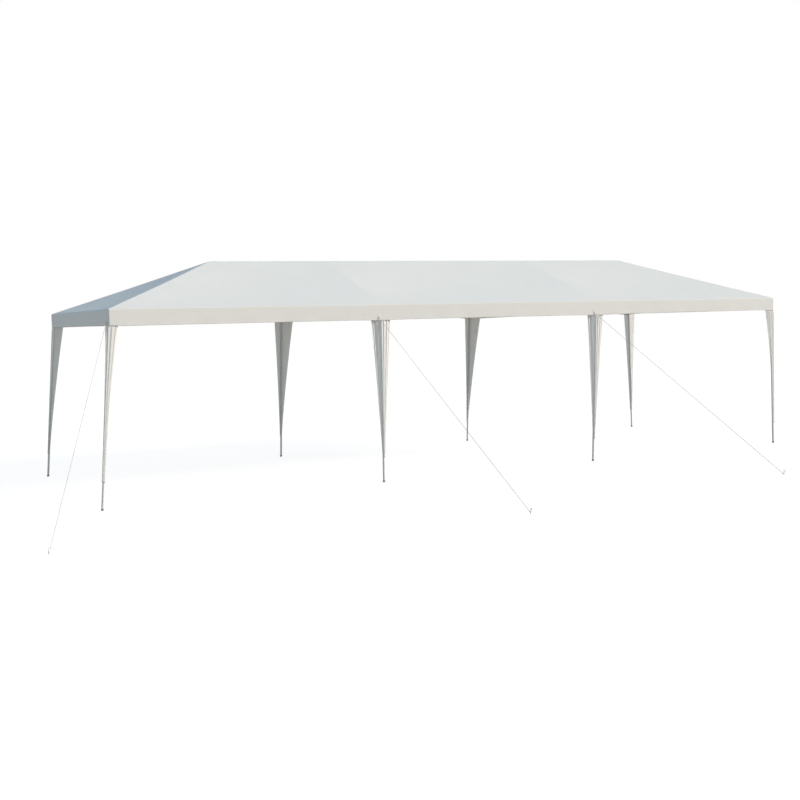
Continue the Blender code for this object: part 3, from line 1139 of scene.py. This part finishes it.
@dataclass
class GuyRope:
    """One taut rope: its sewn tab, its knots, three twisted strands and the loop round the peg."""

    place: str
    spot: tuple[float, float]
    out: tuple[int, int]
    peg: tuple[float, float]
    knot_rise: float = 0.009
    radius: float = 0.0026
    strand: float = 0.0015
    pitch: float = 0.014
    steps: int = 8
    sides: int = 6
    knot_radius: float = 0.0052
    loop_height: float = 0.018
    loop_radius: float = 0.0066
    tab_width: float = 0.022
    tab_height: float = 0.045
    tab_thick: float = 0.0022

    @property
    def root(self) -> Vector:
        """The middle of the tab's lower edge, on the valance's outer face."""
        return Vector((*self.spot, PLAN.valance_bottom)) + Vector((*self.out, 0)) * 0.0003

    def ends(self) -> tuple[Vector, Vector]:
        """The rope's end at the tab and its end at the loop."""
        top = self.root + Vector((*self.out, 0)) * 0.0055 + Vector((0, 0, self.knot_rise))
        loop = Vector((*self.peg, self.loop_height))
        way = Vector((top.x - loop.x, top.y - loop.y, 0)).normalized()
        return top, loop + way * (self.loop_radius + 0.0055)

    def tube(self, shape: bmesh.types.BMesh, path: Iterable[Vector], radius: float) -> None:
        """Adds a closed tube of a strand's section along a path.

        Args:
            shape: The mesh that it is added to.
            path: The tube's centre line.
            radius: Its radius.
        """
        path = list(path)
        rings = []
        side = (path[1] - path[0]).orthogonal().normalized()
        for number, at in enumerate(path):
            ahead = path[min(number + 1, len(path) - 1)] - path[max(number - 1, 0)]
            ahead.normalize()
            side = (side - ahead * side.dot(ahead)).normalized()
            other = ahead.cross(side)
            rings.append(
                [
                    shape.verts.new(
                        at + (side * math.cos(TURN * k / self.sides) + other * math.sin(TURN * k / self.sides)) * radius
                    )
                    for k in range(self.sides)
                ]
            )
        for lower, upper in zip(rings, rings[1:]):
            for k in range(self.sides):
                j = (k + 1) % self.sides
                shape.faces.new((lower[k], lower[j], upper[j], upper[k])).smooth = True
        shape.faces.new(reversed(rings[0]))
        shape.faces.new(rings[-1])

    def twist(self, shape: bmesh.types.BMesh, path: Sequence[Vector], turns: float) -> None:
        """Adds three strands that wind round a path."""
        side = (path[1] - path[0]).orthogonal().normalized()
        frames = []
        for number, at in enumerate(path):
            ahead = (path[min(number + 1, len(path) - 1)] - path[max(number - 1, 0)]).normalized()
            side = (side - ahead * side.dot(ahead)).normalized()
            frames.append((at, side.copy(), ahead.cross(side)))
        reach = self.radius - self.strand
        for first in range(3):
            strand = []
            for number, (at, across, other) in enumerate(frames):
                roll = TURN * (first / 3 + turns * number / (len(frames) - 1))
                strand.append(at + (across * math.cos(roll) + other * math.sin(roll)) * reach)
            self.tube(shape, strand, self.strand)

    def knot(self, shape: bmesh.types.BMesh, centre: Vector, way: Vector, size: float) -> None:
        """Adds a knot: three tight turns of rope that lean across one another."""
        axis = way.normalized()
        across = axis.orthogonal().normalized()
        other = axis.cross(across)
        path = []
        for number in range(61):
            t = number / 60
            roll = TURN * 3 * t
            reach = (size - self.radius) * (0.75 + 0.25 * math.sin(math.pi * t))
            lean = axis * ((t - 0.5) * size * 1.5 + 0.25 * size * math.sin(roll + 1))
            path.append(centre + lean + (across * math.cos(roll) + other * math.sin(roll)) * reach)
        self.twist(shape, path, 9)

    def rope_mesh(self) -> bpy.types.Mesh:
        """The rope, its knots and its loop as one mesh."""
        top, low = self.ends()
        shape = bmesh.new()
        length = (top - low).length
        count = int(length / self.pitch * self.steps)
        self.twist(shape, [low.lerp(top, n / count) for n in range(count + 1)], length / self.pitch)
        self.knot(shape, top, top - low, self.knot_radius)
        self.knot(shape, low, top - low, self.knot_radius * 0.9)
        centre = Vector((*self.peg, self.loop_height))
        start = math.atan2(low.y - centre.y, low.x - centre.x)
        loop = [
            centre + Vector((math.cos(start + a), math.sin(start + a), 0)) * self.loop_radius
            for a in np.linspace(0.16, TURN - 0.16, 40)
        ]
        self.twist(shape, loop, 4)
        made = bpy.data.meshes.new(f"rope_{self.place}")
        shape.to_mesh(made)
        shape.free()
        return made

    def tab_mesh(self) -> bpy.types.Mesh:
        """The webbing tab that is sewn to the valance, folded round the rope's knot."""
        half = self.tab_width / 2
        aside, ahead = np.array([-self.out[1], self.out[0], 0]), np.array([*self.out, 0])
        across, rise = np.meshgrid(np.linspace(-half, half, 13), np.linspace(self.tab_height, 0, 19))
        ribs = 0.00022 * np.cos(TURN * 1.5 * across / half)
        bulge = 0.0006 * np.exp(-(((rise - 0.012) / 0.008) ** 2))
        lift = self.tab_thick - ribs + bulge
        points = np.array(self.root) + across[..., None] * aside + lift[..., None] * ahead
        points[..., 2] += rise
        edge = np.minimum(half - np.abs(across), np.minimum(self.tab_height - rise, rise))
        return SheetPattern(
            points, np.stack([across, rise], axis=2), np.stack([edge, across + rise], axis=2)
        ).mesh(f"rope_tab_{self.place}")

    def build(self, maker: PieceMaker, finish: bpy.types.Material, webbing: bpy.types.Material) -> None:
        """Makes the rope and its tab, which stand for the frame's rope."""
        rope = maker.piece(f"twisted_rope_{self.place}", self.rope_mesh(), finish)
        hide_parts(f"guy_rope_{self.place}")
        tab = maker.piece(f"rope_tab_{self.place}", self.tab_mesh(), webbing)
        thicken(tab, 0.0016)


@dataclass
class Frame:
    """The carried-over tubes, connectors and pegs, which keep their solids' shapes."""

    nodes: dict[str, bpy.types.Object]

    def dress(self, steel: bpy.types.Material, peg: bpy.types.Material) -> None:
        """Puts the finishes on the frame's nodes."""
        words = ("leg_", "connector", "rail", "rafter", "ridge_pole")
        for name, node in self.nodes.items():
            finish = None
            if name.startswith("ground_peg"):
                finish = peg
            elif any(word in name for word in words):
                finish = steel
            if finish is not None:
                for slot in node.material_slots:
                    slot.material = finish
                LOG.info("dressed %s", name)


@dataclass
class Studio:
    """The camera, the floor and the light."""

    eye: tuple[float, float, float] = (-2.334, -10.88, 1.801)
    right: tuple[float, float, float] = (0.88436783, -0.46612655, -0.02489144)
    up: tuple[float, float, float] = (0.05539206, 0.051847, 0.99711765)
    back: tuple[float, float, float] = (-0.46349247, -0.88319756, 0.07167153)
    lens: float = 48.9015
    floor_radius: float = 90.0
    key_way: tuple[float, float, float] = (0.845, -0.41, 0.345)
    key_strength: float = 4.75
    key_angle: float = math.radians(9)
    key_colour: tuple[float, float, float] = (1.0, 0.875, 0.735)
    overhead: tuple[float, float, float] = (0.40, 0.525, 0.64)
    underneath: tuple[float, float, float] = (0.405, 0.385, 0.335)

    def camera(self) -> None:
        """Makes the camera at the viewpoint and makes it the scene's own."""
        lens = bpy.data.cameras.new("viewpoint")
        lens.lens = self.lens
        lens.sensor_width = 36
        lens.clip_end = 400
        camera = bpy.data.objects.new("viewpoint", lens)
        bpy.context.scene.collection.objects.link(camera)
        turn = Matrix((self.right, self.up, self.back)).transposed().to_4x4()
        camera.matrix_world = Matrix.Translation(self.eye) @ turn
        bpy.context.scene.camera = camera

    def floor(self) -> None:
        """Lays a wide round floor under the tent."""
        shape = bmesh.new()
        bmesh.ops.create_circle(shape, cap_ends=True, segments=96, radius=self.floor_radius)
        mesh = bpy.data.meshes.new("studio_floor")
        shape.to_mesh(mesh)
        shape.free()
        mesh.materials.append(StudioFloor().make())
        floor = bpy.data.objects.new("studio_floor", mesh)
        floor.location = (PLAN.middle.x, PLAN.middle.y, -0.0006)
        floor.visible_diffuse = False
        bpy.context.scene.collection.objects.link(floor)

    def key(self) -> None:
        """Hangs one wide, soft key light to the right of the front."""
        lamp = bpy.data.lights.new("key_light", "SUN")
        lamp.energy = self.key_strength
        lamp.angle = self.key_angle
        lamp.color = self.key_colour
        key = bpy.data.objects.new("key_light", lamp)
        key.rotation_euler = Vector(self.key_way).to_track_quat("Z", "Y").to_euler()
        bpy.context.scene.collection.objects.link(key)

    def surround(self) -> None:
        """Lights the tent cool from above and warm from below, on a white background."""
        world = bpy.data.worlds.new("surround")
        bpy.context.scene.world = world
        world.use_nodes = True
        tree = world.node_tree
        tree.nodes.clear()
        bench = MixingBench.__new__(MixingBench)
        bench.tree = tree
        height = bench.split(bench.add("ShaderNodeTexCoord", out="Generated"), "Z")
        share = bench.add(
            "ShaderNodeMapRange", None, {0: height, 1: -0.06, 2: 0.06, 3: 0.0, 4: 1.0}
        )
        light = bench.add(
            "ShaderNodeBackground", None, {"Color": bench.blend(share, self.underneath, self.overhead)}
        )
        white = bench.add("ShaderNodeBackground", None, {"Color": (1.0, 1.0, 1.0)})
        seen = bench.add("ShaderNodeLightPath", out="Is Camera Ray")
        both = bench.add("ShaderNodeMixShader", None, {0: seen, 1: light, 2: white})
        bench.add("ShaderNodeOutputWorld", None, {"Surface": both})

    def build(self) -> None:
        """Sets the studio up."""
        self.camera()
        self.floor()
        self.key()
        self.surround()
        bpy.context.scene.view_settings.view_transform = "Standard"


def main() -> None:
    """Builds the tent's pieces round the frame, in order."""
    logging.basicConfig(level=logging.INFO, format="%(name)s: %(message)s")
    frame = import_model()
    Studio().build()
    maker = PieceMaker()
    cover = Cover().build(maker, CoverCloth("cover_sheet", stitch_rows=(0.014, 0.166), glow=0.18).make())
    drapes = DrapeCloth("drape_sheet")
    Drapes().build(maker, drapes.make(), replace(drapes, name="drape_sheet_thin", glow=0.62).make(), cover)
    cord = TwistedCord().make()
    webbing = WovenCloth("tab_webbing", tape=0.0016, stitch_rows=(0.003,), stitch=0.004, glow=0.1).make()
    wide = -PLAN.half_width
    for guy in (
        GuyRope("left", (-PLAN.half_length, -1.475), (-1, 0), (-5.51, -3.40), 0.032),
        GuyRope("middle", (PLAN.stations[1] - 0.038, wide), (0, -1), (-1.3275, -4.1243)),
        GuyRope("right", (PLAN.stations[2] - 0.042, wide), (0, -1), (2.324, -3.75)),
    ):
        guy.build(maker, cord, webbing)
    Frame(frame["nodes"]).dress(CoatedTube().make(), PlatedSteel().make())
    LOG.info("%d pieces made", len(maker.made))


if __name__ == "__main__":
    main()
